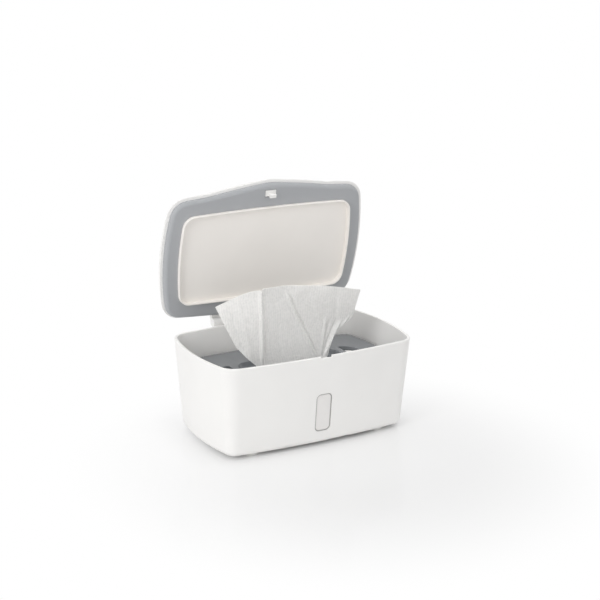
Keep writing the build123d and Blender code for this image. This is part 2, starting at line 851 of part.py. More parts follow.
# Button springs, leaves folded into an S between the ring and the button's cap
leaf_y = button_y - leaf_ahead
leaf_reach = leaf_side + leaf_leg / 2
cap_under = crown_height(leaf_reach, leaf_y - leaf_width / 2) - lid_wall
leaf_foot = ring_top + leaf_gap + leaf_thickness / 2
leaf_bend = (cap_under - leaf_gap - leaf_thickness / 2 - leaf_foot) / 4
for side, side_name in ((-1, "left"), (1, "right")):
    inner, outer = side * (leaf_side - leaf_leg / 2), side * leaf_reach
    with BuildPart() as button_spring:
        with BuildLine(Plane(lid_point(0, leaf_y, 0), x_dir=(1, 0, 0), z_dir=-lid_plane.y_dir)):
            Line((inner, leaf_foot), (outer, leaf_foot))
            ThreePointArc(
                (outer, leaf_foot),
                (outer + side * leaf_bend, leaf_foot + leaf_bend),
                (outer, leaf_foot + 2 * leaf_bend),
            )
            Line((outer, leaf_foot + 2 * leaf_bend), (inner, leaf_foot + 2 * leaf_bend))
            ThreePointArc(
                (inner, leaf_foot + 2 * leaf_bend),
                (inner - side * leaf_bend, leaf_foot + 3 * leaf_bend),
                (inner, leaf_foot + 4 * leaf_bend),
            )
            Line((inner, leaf_foot + 4 * leaf_bend), (outer, leaf_foot + 4 * leaf_bend))
        with BuildSketch(Plane(lid_point(inner, leaf_y, leaf_foot), x_dir=lid_out, z_dir=(side, 0, 0))):
            Rectangle(leaf_thickness, leaf_width)
        sweep()
    button_spring.part.label = f"button_spring_{side_name}"
    export_step(button_spring.part, f"parts/button_spring_{side_name}.step")


def plate_outline(inset):
    """The plate's outline, moved in by inset."""
    return bowed_outline(
        plate_length - 2 * inset,
        plate_depth - 2 * inset,
        plate_long_bow,
        plate_short_bow,
        plate_corner - inset,
    )


def plate_frame(inset, gap):
    """The band between the plate's skirt and the island round its openings."""
    with BuildSketch() as band:
        add(plate_outline(inset))
        SlotOverall(island_length + 2 * gap, island_width + 2 * gap, mode=Mode.SUBTRACT)
    return band.sketch


# Plate cover: a shallow dish with a slot, a finger hole at each side and a skirt
with BuildPart() as plate_cover:
    with BuildSketch(Plane.XY.offset(plate_bottom)):
        add(plate_outline(0))
    extrude(amount=plate_thickness)
    fillet(plate_cover.faces().sort_by(Axis.Z)[-1].edges(), plate_edge_round)
    with BuildSketch(Plane.XY.offset(plate_bottom)):
        add(plate_frame(plate_skirt, 0))
    extrude(amount=plate_thickness - plate_skin, mode=Mode.SUBTRACT)
    with BuildSketch(Plane.XY.offset(plate_top)):
        RectangleRounded(dish_length, dish_width, dish_corner)
    extrude(amount=-dish_depth, taper=dish_slope, mode=Mode.SUBTRACT)
    with BuildSketch(Plane.XY.offset(plate_bottom)):
        SlotOverall(slot_length, slot_width)
    extrude(amount=plate_thickness, mode=Mode.SUBTRACT)
    with BuildSketch(Plane.XY.offset(plate_bottom)) as finger_holes:
        with Locations((-finger_centre, 0), (finger_centre, 0)):
            Circle(finger_radius)
        Rectangle(2 * finger_web, 2 * finger_radius, mode=Mode.SUBTRACT)
        fillet(finger_holes.vertices(), finger_corner)
    extrude(amount=plate_thickness, mode=Mode.SUBTRACT)
plate_cover.part.label = "plate_cover"
export_step(plate_cover.part, "parts/plate_cover.step")


# Plate base: the panel that closes the cover from below
with BuildPart() as plate_base:
    with BuildSketch(Plane.XY.offset(plate_bottom)):
        add(plate_frame(plate_skirt + base_gap, base_gap))
    extrude(amount=base_thickness)
plate_base.part.label = "plate_base"
export_step(plate_base.part, "parts/plate_base.step")


# Plate weight: the slab shut between the cover and the base
with BuildPart() as plate_weight:
    with BuildSketch(Plane.XY.offset(plate_bottom + base_thickness + weight_gap)):
        add(plate_frame(plate_skirt + weight_gap, weight_gap))
    extrude(amount=weight_thickness)
plate_weight.part.label = "plate_weight"
export_step(plate_weight.part, "parts/plate_weight.step")


# Wipes stack: the folded wipes under the plate, as one soft block
with BuildPart() as wipes_stack:
    with BuildSketch(Plane.XY.offset(cavity_floor + soft_gap)):
        RectangleRounded(stack_length, stack_depth, stack_corner)
    extrude(amount=stack_top - cavity_floor - soft_gap)
    for face in (wipes_stack.faces().sort_by(Axis.Z)[0], wipes_stack.faces().sort_by(Axis.Z)[-1]):
        chamfer(face.edges(), stack_chamfer)
wipes_stack.part.label = "wipes_stack"
export_step(wipes_stack.part, "parts/wipes_stack.step")


def waved_band(left, fold, crease, right, wave):
    """A band of one wipe's thickness that stands forward at the fold, lies back to
    its left and at the crease, and comes forward again towards its right end."""
    half = wipe_thickness / 2
    bends = (
        (left, wave),
        (fold, -wave),
        (crease, wave * wipe_crease_share),
        (right, -wave * wipe_edge_share),
    )
    with BuildSketch() as band:
        with BuildLine():
            for offset in (-half, half):
                for (start_x, start_y), (end_x, end_y) in zip(bends, bends[1:]):
                    middle_y = (start_y + end_y) / 2 + wave * wipe_panel_share
                    ThreePointArc(
                        (start_x, start_y + offset),
                        ((start_x + end_x) / 2, middle_y + offset),
                        (end_x, end_y + offset),
                    )
            for end_x, end_y in (bends[0], bends[-1]):
                Line((end_x, end_y - half), (end_x, end_y + half))
        make_face()
    return band.sketch


def swayed(start, end, sway):
    """An arc between two points whose middle lies sway to the right of the straight."""
    start, end = Vector(*start), Vector(*end)
    across = Vector(end.Y - start.Y, start.X - end.X).normalized()
    return ThreePointArc(start, (start + end) * 0.5 + across * sway, end)


# Leading wipe: one sheet drawn up through the slot, folded along its length, whose
# outline widens from the slot to a loose top edge
wipe_foot_z = plate_bottom + soft_gap
with BuildPart() as wipe_body:
    with BuildSketch(Plane.XY.offset(wipe_foot_z)):
        add(waved_band(
            -wipe_foot_half, wipe_foot_fold, wipe_foot_crease, wipe_foot_half, wipe_foot_wave
        ))
    with BuildSketch(Plane.XY.offset(wipe_neck_height)):
        add(waved_band(
            wipe_neck_left, wipe_neck_fold, wipe_neck_crease, wipe_neck_right, wipe_neck_wave
        ))
    with BuildSketch(Plane.XY.offset(wipe_top_height)):
        add(waved_band(
            wipe_top_left, wipe_top_fold, wipe_top_crease, wipe_top_right, wipe_top_wave
        ))
    loft()
foot_left = (wipe_foot_margin - wipe_foot_half, plate_bottom)
foot_right = (wipe_foot_half - wipe_foot_margin, plate_bottom)
root = (wipe_root_x, wipe_root_z)
knee = (wipe_knee_x, wipe_knee_z)
hip = (wipe_hip_x, wipe_hip_z)
elbow = (wipe_elbow_x, wipe_elbow_z)
right_corner = (wipe_right_x, wipe_right_z)
shoulder = (wipe_shoulder_x, wipe_shoulder_z)
crest = (wipe_crest_x, wipe_crest_z)
left_corner = (wipe_left_x, wipe_left_z)
waist = (wipe_waist_x, wipe_waist_z)
ankle = (wipe_ankle_x, wipe_ankle_z)
with BuildPart() as leading_wipe:
    with BuildSketch(Plane.XZ.offset(-3 * wipe_top_wave)):
        with BuildLine():
            Polyline(foot_left, foot_right, root, knee)
            swayed(knee, hip, wipe_knee_sway)
            Line(hip, elbow)
            swayed(elbow, right_corner, wipe_right_sway)
            Line(right_corner, shoulder)
            swayed(shoulder, crest, wipe_top_sway)
            swayed(crest, left_corner, wipe_crest_sway)
            swayed(left_corner, waist, wipe_left_sway)
            swayed(waist, ankle, wipe_waist_sway)
            Line(ankle, foot_left)
        make_face()
    extrude(amount=6 * wipe_top_wave)
    add(wipe_body.part, mode=Mode.INTERSECT)
leading_wipe.part.label = "leading_wipe"
export_step(leading_wipe.part, "parts/leading_wipe.step")
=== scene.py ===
"""Wipes dispenser: finishes, wipes, floor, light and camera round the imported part."""

import logging
import math
import random
from dataclasses import dataclass, field
from enum import Enum

import bpy
import numpy as np
from mathutils import Matrix, Vector


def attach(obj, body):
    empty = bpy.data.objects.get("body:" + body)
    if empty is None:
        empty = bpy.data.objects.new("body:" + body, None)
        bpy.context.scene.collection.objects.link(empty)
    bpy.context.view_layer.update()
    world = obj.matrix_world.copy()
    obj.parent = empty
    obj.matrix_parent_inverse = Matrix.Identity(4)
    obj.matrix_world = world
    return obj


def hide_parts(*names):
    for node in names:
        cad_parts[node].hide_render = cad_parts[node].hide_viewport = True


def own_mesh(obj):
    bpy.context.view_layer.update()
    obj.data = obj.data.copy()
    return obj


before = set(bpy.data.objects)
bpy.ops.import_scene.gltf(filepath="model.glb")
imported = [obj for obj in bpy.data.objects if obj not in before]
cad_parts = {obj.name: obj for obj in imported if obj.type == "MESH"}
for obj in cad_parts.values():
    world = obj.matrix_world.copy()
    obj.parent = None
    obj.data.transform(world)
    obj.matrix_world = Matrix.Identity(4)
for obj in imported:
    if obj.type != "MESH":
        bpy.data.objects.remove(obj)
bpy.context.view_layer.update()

logging.basicConfig(level=logging.INFO, format="%(message)s")
log = logging.getLogger("wipes_dispenser")

MM = 0.001

# Points of a mesh that lie closer than this are one point
WELD = 0.001 * MM

# The Mix node's colour sockets go by number, as its other kinds share their names
MIX_FIRST, MIX_SECOND, MIX_RESULT = 6, 7, 2


class Colour(Enum):
    """The object's colours, as sRGB hex values."""

    WHITE_MOULDING = "#F5F4F2"
    WARM_TRAY = "#FBF7F2"
    SEAL_GREY = "#ADAFB2"
    PLATE_GREY = "#7B7F83"
    FROSTED = "#F8F6F4"
    FROSTED_RIM = "#959391"
    FOOT = "#E6E6E2"
    WIPE = "#FFFDFA"
    WIPE_SHADE = "#F0EFEC"
    STEEL = "#B9BBBD"
    STEEL_DARK = "#8E9093"
    FLOOR = "#F2F2F2"


class Grain(Enum):
    """How a moulded surface was made in its tool, as the strength of its relief."""

    SATIN = 0.0875
    FINE_MATTE = 0.2
    POLISHED = 0.03


def linear(colour: Colour) -> tuple[float, float, float, float]:
    """Turns an sRGB hex colour to linear values.

    Args:
        colour: The colour to turn.

    Returns:
        Red, green, blue and alpha, linear.
    """
    channels = [int(colour.value[i : i + 2], 16) / 255 for i in (1, 3, 5)]
    turned = [c / 12.92 if c <= 0.04045 else ((c + 0.055) / 1.055) ** 2.4 for c in channels]
    return (*turned, 1.0)


def shaded(colour: tuple[float, ...], factor: float) -> tuple[float, float, float, float]:
    """Darkens or lightens a linear colour by a factor."""
    return (*[min(1.0, c * factor) for c in colour[:3]], 1.0)


def sized(size_mm: float, detail: float = 3.0, roughness: float = 0.5) -> dict[str, float]:
    """Gives a noise pattern's settings from the real width of its blobs.

    Args:
        size_mm: About one blob's width in millimetres.
        detail: How many finer layers are laid over it.
        roughness: How strong these are.

    Returns:
        The settings by name.
    """
    return {"Scale": 1 / (size_mm * MM), "Detail": detail, "Roughness": roughness}


def spread(low: float, high: float) -> dict[str, float]:
    """Gives the settings that map a noise pattern's usual range to other values.

    Args:
        low: The value where the pattern is low.
        high: The value where it is high.

    Returns:
        The settings by name.
    """
    return {"From Min": 0.3, "From Max": 0.7, "To Min": low, "To Max": high}


def add_node(
    tree: bpy.types.NodeTree,
    kind: str,
    settings: dict[str | int, object] | None = None,
    links: dict[str | int, bpy.types.NodeSocket] | None = None,
) -> bpy.types.Node:
    """Adds one node with its settings and its incoming links.

    Args:
        tree: The node tree to add to.
        kind: Blender's name of the node type.
        settings: Attribute names, or input names or numbers, with their values.
        links: Input names or numbers with the sockets that feed them.

    Returns:
        The new node.
    """
    node = tree.nodes.new(kind)
    for key, value in (settings or {}).items():
        if isinstance(key, int) or key in node.inputs:
            node.inputs[key].default_value = value
        else:
            setattr(node, key, value)
    for key, source in (links or {}).items():
        tree.links.new(source, node.inputs[key])
    return node


def new_material(name: str) -> tuple[bpy.types.Material, bpy.types.NodeTree]:
    """Makes an empty node material.

    Args:
        name: The material's name.

    Returns:
        The material and its tree.
    """
    material = bpy.data.materials.new(name)
    material.use_nodes = True
    material.node_tree.nodes.clear()
    return material, material.node_tree


@dataclass(frozen=True)
class MouldedPlastic:
    """Injection moulded plastic with the texture of its tool."""

    name: str
    colour: Colour
    roughness: float
    grain: Grain
    grain_mm: float = 0.9
    coat: float = 0.0
    coat_roughness: float = 0.12
    subsurface: float = 0.0
    subsurface_mm: float = 2.0
    # Pointiness range and strength of the painted highlight on convex edges
    edge_curve: tuple[float, float] = (0.54, 0.66)
    edge_highlight: float = 0.05
    flow_mm: float = 45.0
    flow_shades: tuple[float, float] = (0.985, 1.01)
    smudge_mm: float = 18.0
    gloss_shares: tuple[float, float] = (0.9, 1.12)
    relief_mm: float = 0.05
    ior: float = 1.49

    def tone(
        self, tree: bpy.types.NodeTree, place: bpy.types.NodeSocket
    ) -> bpy.types.NodeSocket:
        """Gives the plastic's colour with its flow marks and a painted highlight that makes its
        convex edges paler.

        Args:
            tree: The node tree to add to.
            place: The coordinates that the pattern reads.

        Returns:
            The colour's socket.
        """
        base = linear(self.colour)
        # Slow flow marks of the melt shift the shade by a hair
        flow = add_node(tree, "ShaderNodeTexNoise", sized(self.flow_mm, 2.0), {"Vector": place})
        share = add_node(
            tree, "ShaderNodeMapRange", spread(0.0, 1.0), {"Value": flow.outputs["Fac"]}
        )
        darker, paler = (shaded(base, factor) for factor in self.flow_shades)
        marked = add_node(
            tree,
            "ShaderNodeMix",
            {"data_type": "RGBA", MIX_FIRST: darker, MIX_SECOND: paler},
            {0: share.outputs["Result"]},
        )
        # Painted highlight: the convex edges are drawn a little paler, towards white
        edge = add_node(tree, "ShaderNodeNewGeometry").outputs["Pointiness"]
        flat, sharp = self.edge_curve
        edge_lit_share = add_node(
            tree,
            "ShaderNodeMapRange",
            {"From Min": flat, "From Max": sharp, "To Min": 0.0, "To Max": self.edge_highlight},
            {"Value": edge},
        )
        edge_highlighted = add_node(
            tree,
            "ShaderNodeMix",
            {"data_type": "RGBA", MIX_SECOND: (1.0, 1.0, 1.0, 1.0)},
            {0: edge_lit_share.outputs["Result"], MIX_FIRST: marked.outputs[MIX_RESULT]},
        )
        return edge_highlighted.outputs[MIX_RESULT]

    def build(self) -> bpy.types.Material:
        """Builds the material.

        Returns:
            Moulded plastic with tool grain, slow flow shade and a painted highlight on its convex
            edges.
        """
        material, tree = new_material(self.name)
        place = add_node(tree, "ShaderNodeTexCoord").outputs["Object"]
        # Tool grain, drawn coarser than the real tenth of a millimetre so that it shows
        fine = add_node(tree, "ShaderNodeTexNoise", sized(self.grain_mm, 2.0), {"Vector": place})
        bump = add_node(
            tree,
            "ShaderNodeBump",
            {"Strength": self.grain.value, "Distance": self.relief_mm * MM},
            {"Height": fine.outputs["Fac"]},
        )
        # Touch and dust leave the gloss a little uneven
        smudge = add_node(tree, "ShaderNodeTexNoise", sized(self.smudge_mm), {"Vector": place})
        gloss = add_node(
            tree,
            "ShaderNodeMapRange",
            spread(*[self.roughness * share for share in self.gloss_shares]),
            {"Value": smudge.outputs["Fac"]},
        )
        shader = add_node(
            tree,
            "ShaderNodeBsdfPrincipled",
            {
                "IOR": self.ior,
                "Coat Weight": self.coat,
                "Coat Roughness": self.coat_roughness,
                "Subsurface Weight": self.subsurface,
                "Subsurface Radius": (1.0, 1.0, 1.0),
                "Subsurface Scale": self.subsurface_mm * MM,
            },
            {
                "Base Color": self.tone(tree, place),
                "Roughness": gloss.outputs["Result"],
                "Normal": bump.outputs["Normal"],
            },
        )
        add_node(tree, "ShaderNodeOutputMaterial", links={"Surface": shader.outputs["BSDF"]})
        return material


@dataclass(frozen=True)
class FrostedPane:
    """A clear moulded pane with a fine frosted face, whose sizes are in millimetres."""

    name: str
    colour: Colour
    # Colour of the painted recess shadow and gap line round the face
    rim: Colour
    transmission: float
    roughness: float
    middle: tuple[float, float] = (0.0, 35.3)
    size: tuple[float, float] = (17.4, 39.2)
    corner: float = 5.0
    line_start: float = 1.8
    line_full: float = 0.3
    cloud_mm: float = 9.0
    cloud_shade: float = 0.97
    gloss_shares: tuple[float, float] = (0.85, 1.15)
    frost_mm: float = 0.6
    frost_strength: float = 0.15
    relief_mm: float = 0.04
    ior: float = 1.49

    def recess_shadow_line(
        self, tree: bpy.types.NodeTree, place: bpy.types.NodeSocket
    ) -> bpy.types.NodeSocket:
        """Gives 1 along the outline of the pane's face, where the recess shadow is painted, and 0
        in its middle.

        Args:
            tree: The node tree to add to.
            place: The coordinates that the outline reads.

        Returns:
            The socket of the outline's strength.
        """
        # How far a place lies outside the rectangle between the rounded corners' middles
        straight = [(side / 2 - self.corner) * MM for side in self.size]
        steps = (
            ("SUBTRACT", (self.middle[0] * MM, 0.0, self.middle[1] * MM)),
            ("ABSOLUTE", (0.0, 0.0, 0.0)),
            ("SUBTRACT", (straight[0], 1.0, straight[1])),
            ("MAXIMUM", (0.0, 0.0, 0.0)),
        )
        for operation, other in steps:
            settings = {"operation": operation, 1: other}
            place = add_node(tree, "ShaderNodeVectorMath", settings, {0: place}).outputs[0]
        reach = add_node(tree, "ShaderNodeVectorMath", {"operation": "LENGTH"}, {0: place})
        line = add_node(
            tree,
            "ShaderNodeMapRange",
            {
                "interpolation_type": "SMOOTHSTEP",
                "From Min": (self.corner - self.line_start) * MM,
                "From Max": (self.corner - self.line_full) * MM,
            },
            {"Value": reach.outputs["Value"]},
        )
        return line.outputs["Result"]

    def build(self) -> bpy.types.Material:
        """Builds the material.

        Returns:
            Frosted clear plastic with a grey line round the face: a painted shadow of the recess
            over its gap line.
        """
        material, tree = new_material(self.name)
        place = add_node(tree, "ShaderNodeTexCoord").outputs["Object"]
        base = linear(self.colour)
        # The frosting is uneven in soft clouds
        cloud = add_node(tree, "ShaderNodeTexNoise", sized(self.cloud_mm), {"Vector": place})
        share = add_node(
            tree, "ShaderNodeMapRange", spread(0.0, 1.0), {"Value": cloud.outputs["Fac"]}
        )
        tone = add_node(
            tree,
            "ShaderNodeMix",
            {"data_type": "RGBA", MIX_FIRST: shaded(base, self.cloud_shade), MIX_SECOND: base},
            {0: share.outputs["Result"]},
        )
        # Painted shadow of the recess round the pane's face, over the gap line
        recess_shadowed = add_node(
            tree,
            "ShaderNodeMix",
            {"data_type": "RGBA", MIX_SECOND: linear(self.rim)},
            {0: self.recess_shadow_line(tree, place), MIX_FIRST: tone.outputs[MIX_RESULT]},
        )
        gloss = add_node(
            tree,
            "ShaderNodeMapRange",
            spread(*[self.roughness * share for share in self.gloss_shares]),
            {"Value": cloud.outputs["Fac"]},
        )
        frost = add_node(tree, "ShaderNodeTexNoise", sized(self.frost_mm, 2.0), {"Vector": place})
        bump = add_node(
            tree,
            "ShaderNodeBump",
            {"Strength": self.frost_strength, "Distance": self.relief_mm * MM},
            {"Height": frost.outputs["Fac"]},
        )
        shader = add_node(
            tree,
            "ShaderNodeBsdfPrincipled",
            {"IOR": self.ior, "Transmission Weight": self.transmission},
            {
                "Base Color": recess_shadowed.outputs[MIX_RESULT],
                "Roughness": gloss.outputs["Result"],
                "Normal": bump.outputs["Normal"],
            },
        )
        add_node(tree, "ShaderNodeOutputMaterial", links={"Surface": shader.outputs["BSDF"]})
        return material


@dataclass(frozen=True)
class DrawnSteel:
    """Steel wire, rod or rolled slab with the drawing lines along one way."""

    name: str
    colour: Colour
    along: tuple[float, float, float]
    roughness: float = 0.32
    line_mm: float = 0.35
    line_shade: float = 0.85
    line_strength: float = 0.2
    squeeze: float = 0.06
    gloss_shares: tuple[float, float] = (0.8, 1.3)
    relief_mm: float = 0.02

    def build(self) -> bpy.types.Material:
        """Builds the material.

        Returns:
            Bare steel with fine lines along the way that it was drawn or rolled.
        """
        material, tree = new_material(self.name)
        place = add_node(tree, "ShaderNodeTexCoord").outputs["Object"]
        base = linear(self.colour)
        # The place is squeezed along the piece, so the pattern runs on as lines there
        stretch = add_node(
            tree,
            "ShaderNodeMapping",
            {"Scale": tuple(self.squeeze if way else 1.0 for way in self.along)},
            {"Vector": place},
        )
        lines = add_node(
            tree,
            "ShaderNodeTexNoise",
            sized(self.line_mm, 2.0),
            {"Vector": stretch.outputs["Vector"]},
        )
        share = add_node(
            tree, "ShaderNodeMapRange", spread(0.0, 1.0), {"Value": lines.outputs["Fac"]}
        )
        tone = add_node(
            tree,
            "ShaderNodeMix",
            {"data_type": "RGBA", MIX_FIRST: shaded(base, self.line_shade), MIX_SECOND: base},
            {0: share.outputs["Result"]},
        )
        gloss = add_node(
            tree,
            "ShaderNodeMapRange",
            spread(*[self.roughness * share for share in self.gloss_shares]),
            {"Value": lines.outputs["Fac"]},
        )
        bump = add_node(
            tree,
            "ShaderNodeBump",
            {"Strength": self.line_strength, "Distance": self.relief_mm * MM},
            {"Height": lines.outputs["Fac"]},
        )
        shader = add_node(
            tree,
            "ShaderNodeBsdfPrincipled",
            {"Metallic": 1.0},
            {
                "Base Color": tone.outputs[MIX_RESULT],
                "Roughness": gloss.outputs["Result"],
                "Normal": bump.outputs["Normal"],
            },
        )
        add_node(tree, "ShaderNodeOutputMaterial", links={"Surface": shader.outputs["BSDF"]})
        return material


@dataclass(frozen=True)
class NonWoven:
    """Damp non-woven cloth with small embossed dimples and soft crumples."""

    name: str
    colour: Colour
    # Colour of the painted shade in the weave's low places
    shade: Colour
    row_mm: float = 2.6
    row_height: float = 0.3
    dimple_mm: float = 2.3
    fibre_mm: float = 0.9
    fibre_height: float = 0.5
    fibre_gloss: tuple[float, float] = (0.62, 0.8)
    low_high: tuple[float, float] = (0.45, 1.25)
    relief_strength: float = 0.6
    relief_mm: float = 0.42
    crumple_mm: float = 7.0
    crumple_strength: float = 0.5
    crumple_relief_mm: float = 0.9
    sway_mm: float = 9.0
    sway_reach_mm: float = 3.2
    subsurface: float = 0.3
    subsurface_mm: float = 1.2
    sheen: float = 0.15
    sheen_roughness: float = 0.5
    ior: float = 1.4

    def weave(
        self,
        tree: bpy.types.NodeTree,
        place: bpy.types.NodeSocket,
        fibre: bpy.types.NodeSocket,
    ) -> bpy.types.NodeSocket:
        """Gives the height of the cloth's face: dimples in broken rows, and fibres.

        Args:
            tree: The node tree to add to.
            place: The coordinates that the pattern reads.
            fibre: The height of the fibres.

        Returns:
            The height's socket.
        """
        # A little sway in the rows, as wet cloth is never quite straight
        sway = add_node(tree, "ShaderNodeTexNoise", sized(self.sway_mm, 2.0), {"Vector": place})
        reach = self.sway_reach_mm * MM
        bent = add_node(
            tree,
            "ShaderNodeVectorMath",
            {"operation": "MULTIPLY_ADD", 1: (reach, reach, 0.0)},
            {0: sway.outputs["Color"], 2: place},
        ).outputs["Vector"]
        # A wave texture has one band in 2 pi / 20 of a unit at a scale of 1
        rows = add_node(
            tree,
            "ShaderNodeTexWave",
            {"bands_direction": "X", "Scale": 2 * math.pi / 20 / (self.row_mm * MM)},
            {"Vector": bent},
        )
        dimples = add_node(
            tree,
            "ShaderNodeTexVoronoi",
            {"feature": "SMOOTH_F1", "Scale": 1 / (self.dimple_mm * MM), "Randomness": 0.8},
            {"Vector": bent},
        )
        pitted = add_node(
            tree,
            "ShaderNodeMath",
            {"operation": "MULTIPLY_ADD", 1: self.row_height},
            {0: rows.outputs["Fac"], 2: dimples.outputs["Distance"]},
        )
        height = add_node(
            tree,
            "ShaderNodeMath",
            {"operation": "MULTIPLY_ADD", 1: self.fibre_height},
            {0: fibre, 2: pitted.outputs["Value"]},
        )
        return height.outputs["Value"]

    def build(self) -> bpy.types.Material:
        """Builds the material.

        Returns:
            Soft fibre cloth whose dimples stand in broken rows along its length, with painted
            shade in their low places.
        """
        material, tree = new_material(self.name)
        place = add_node(tree, "ShaderNodeTexCoord").outputs["UV"]
        # Fibres in loose bundles, drawn coarser than the real ones so that they show
        fibre = add_node(
            tree, "ShaderNodeTexNoise", sized(self.fibre_mm, 4.0, 0.65), {"Vector": place}
        ).outputs["Fac"]
        weave = self.weave(tree, place, fibre)
        # Painted shade: the low places of the weave are drawn a shade darker
        low, high = self.low_high
        depth = add_node(
            tree,
            "ShaderNodeMapRange",
            {"From Min": low, "From Max": high, "To Min": 1.0, "To Max": 0.0},
            {"Value": weave},
        )
        base, dark = linear(self.colour), linear(self.shade)
        tone = add_node(
            tree,
            "ShaderNodeMix",
            {"data_type": "RGBA", MIX_FIRST: base, MIX_SECOND: dark},
            {0: depth.outputs["Result"]},
        )
        crumple = add_node(
            tree, "ShaderNodeTexNoise", sized(self.crumple_mm, 3.0, 0.6), {"Vector": place}
        )
        soft = add_node(
            tree,
            "ShaderNodeBump",
            {"Strength": self.crumple_strength, "Distance": self.crumple_relief_mm * MM},
            {"Height": crumple.outputs["Fac"]},
        )
        bump = add_node(
            tree,
            "ShaderNodeBump",
            {"Strength": self.relief_strength, "Distance": self.relief_mm * MM},
            {"Height": weave, "Normal": soft.outputs["Normal"]},
        )
        gloss = add_node(
            tree, "ShaderNodeMapRange", spread(*self.fibre_gloss), {"Value": fibre}
        )
        shader = add_node(
            tree,
            "ShaderNodeBsdfPrincipled",
            {
                "IOR": self.ior,
                "Subsurface Weight": self.subsurface,
                "Subsurface Radius": (1.0, 1.0, 1.0),
                "Subsurface Scale": self.subsurface_mm * MM,
                "Sheen Weight": self.sheen,
                "Sheen Roughness": self.sheen_roughness,
            },
            {
                "Base Color": tone.outputs[MIX_RESULT],
                "Roughness": gloss.outputs["Result"],
                "Normal": bump.outputs["Normal"],
            },
        )
        add_node(tree, "ShaderNodeOutputMaterial", links={"Surface": shader.outputs["BSDF"]})
        return material


def showing_rays(tree: bpy.types.NodeTree) -> bpy.types.NodeSocket:
    """Gives 1 for the rays that show what stands behind the object, and 0 for its light.

    Args:
        tree: The node tree to add to.

    Returns:
        The socket for rays from the camera, off gloss and metal, and through the pane.
    """
    rays = add_node(tree, "ShaderNodeLightPath")
    shown = rays.outputs["Is Camera Ray"]
    for kind in ("Is Glossy Ray", "Is Transmission Ray"):
        links = {0: shown, 1: rays.outputs[kind]}
        shown = add_node(tree, "ShaderNodeMath", {"operation": "MAXIMUM"}, links).outputs["Value"]
    return shown


@dataclass(frozen=True)
class StudioFloor:
    """A pale floor, in metres, that keeps the near shadow and reads as white further out."""

    name: str = "painted_studio_floor"
    middle: tuple[float, float, float] = (0.0, -0.1, 0.0)
    near: float = 0.07
    far: float = 0.27
    roughness: float = 0.16
    specular: float = 0.35

    def build(self) -> bpy.types.Material:
        """Builds the floor's material.

        Returns:
            Smooth white paint that passes into plain white where it is the background.
        """
        material, tree = new_material(self.name)
        place = add_node(tree, "ShaderNodeTexCoord").outputs["Object"]
        reach = add_node(
            tree, "ShaderNodeVectorMath", {"operation": "DISTANCE", 1: self.middle}, {0: place}
        )
        outward = add_node(
            tree,
            "ShaderNodeMapRange",
            {"interpolation_type": "SMOOTHSTEP", "From Min": self.near, "From Max": self.far},
            {"Value": reach.outputs["Value"]},
        )
        share = add_node(
            tree,
            "ShaderNodeMath",
            {"operation": "MULTIPLY"},
            {0: showing_rays(tree), 1: outward.outputs["Result"]},
        )
        paint = add_node(
            tree,
            "ShaderNodeBsdfPrincipled",
            {
                "Base Color": linear(Colour.FLOOR),
                "Roughness": self.roughness,
                "Specular IOR Level": self.specular,
            },
        )
        plain = add_node(
            tree, "ShaderNodeEmission", {"Color": (1.0, 1.0, 1.0, 1.0), "Strength": 1.0}
        )
        mixed = add_node(
            tree,
            "ShaderNodeMixShader",
            links={
                0: share.outputs["Value"],
                1: paint.outputs["BSDF"],
                2: plain.outputs["Emission"],
            },
        )
        add_node(tree, "ShaderNodeOutputMaterial", links={"Surface": mixed.outputs["Shader"]})
        return material


def deselect() -> None:
    """Leaves edit mode and clears the selection."""
    if bpy.context.object and bpy.context.object.mode != "OBJECT":
        bpy.ops.object.mode_set(mode="OBJECT")
    bpy.ops.object.select_all(action="DESELECT")


def activate(piece: bpy.types.Object) -> None:
    """Makes a piece the only selected and active one.

    Args:
        piece: The piece to work on.
    """
    deselect()
    piece.select_set(True)
    bpy.context.view_layer.objects.active = piece


def settle(piece: bpy.types.Object) -> None:
    """Moves a piece's place into its mesh, so that its object sits at the origin."""
    activate(piece)
    bpy.ops.object.transform_apply(location=True, rotation=True, scale=True)


def weld(piece: bpy.types.Object) -> None:
    """Merges the points of a piece that lie on each other, with the faces between them.

    Args:
        piece: The piece to clean.
    """
    activate(piece)
    bpy.ops.object.mode_set(mode="EDIT")
    bpy.ops.mesh.select_all(action="SELECT")
    bpy.ops.mesh.remove_doubles(threshold=WELD)
    bpy.ops.object.mode_set(mode="OBJECT")


def apply_modifier(piece: bpy.types.Object, kind: str, **settings: object) -> None:
    """Adds a modifier and applies it.

    Args:
        piece: The piece to change.
        kind: Blender's name of the modifier type.
        settings: The modifier's settings.
    """
    modifier = piece.modifiers.new(kind.title(), kind)
    for name, value in settings.items():
        setattr(modifier, name, value)
    activate(piece)
    bpy.ops.object.modifier_apply(modifier=modifier.name)


def dress(piece: bpy.types.Object, material: bpy.types.Material, angle: float = 40.0) -> None:
    """Gives a piece one material and smooth shading up to an angle.

    Args:
        piece: The piece to dress.
        material: Its material.
        angle: The angle in degrees past which an edge stays sharp.
    """
    piece.data.materials.clear()
    piece.data.materials.append(material)
    activate(piece)
    bpy.ops.object.shade_smooth_by_angle(angle=math.radians(angle))


